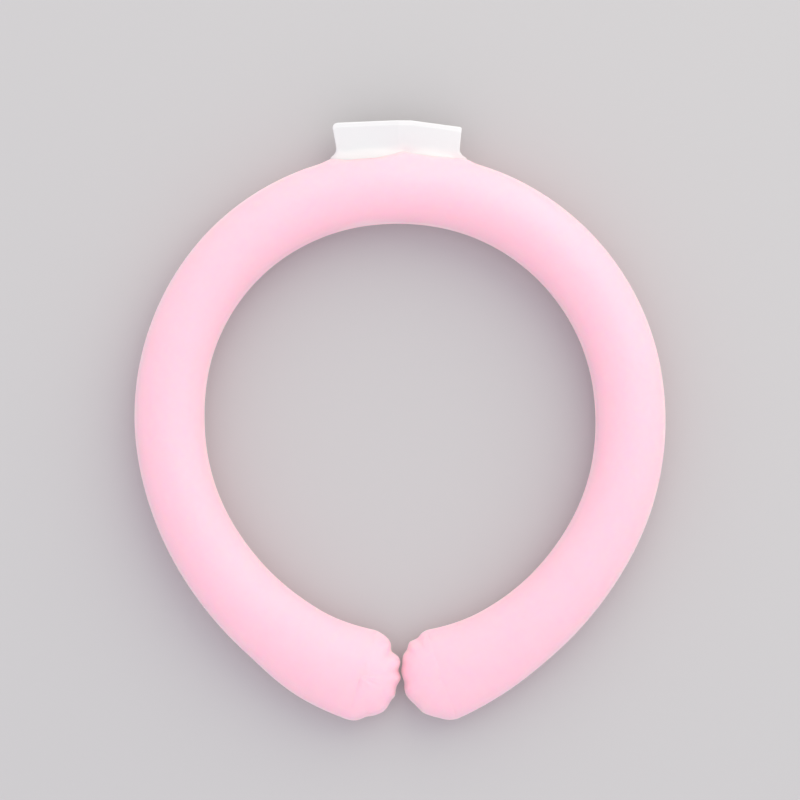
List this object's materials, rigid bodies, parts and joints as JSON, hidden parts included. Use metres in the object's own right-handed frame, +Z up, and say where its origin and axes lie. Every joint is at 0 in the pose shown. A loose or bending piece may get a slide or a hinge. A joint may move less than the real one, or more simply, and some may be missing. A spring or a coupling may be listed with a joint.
{
  "type": "cooling neck ring",
  "caption": "C-shaped neck ring of soft film filled with cooling gel, open at the front between two welded, puckered ends, with a plain film tab at the nape.",
  "frame": {"origin": "under the middle of the whole ring, on the surface that it lies on", "axes": "+Y from the middle of the neck opening to the nape, the two ends towards -Y, +Z up out of the surface that the ring lies on"},
  "size_m": [0.1748, 0.1978, 0.0231],
  "materials": {
    "pink_film": "soft satin film, light pink, with gel behind it",
    "white_film": "satin white film, welded flat"
  },
  "bodies": {
    "root": {"cooling_tube": "pink_film", "nape_tab": "white_film"}
  },
  "joints": []
}
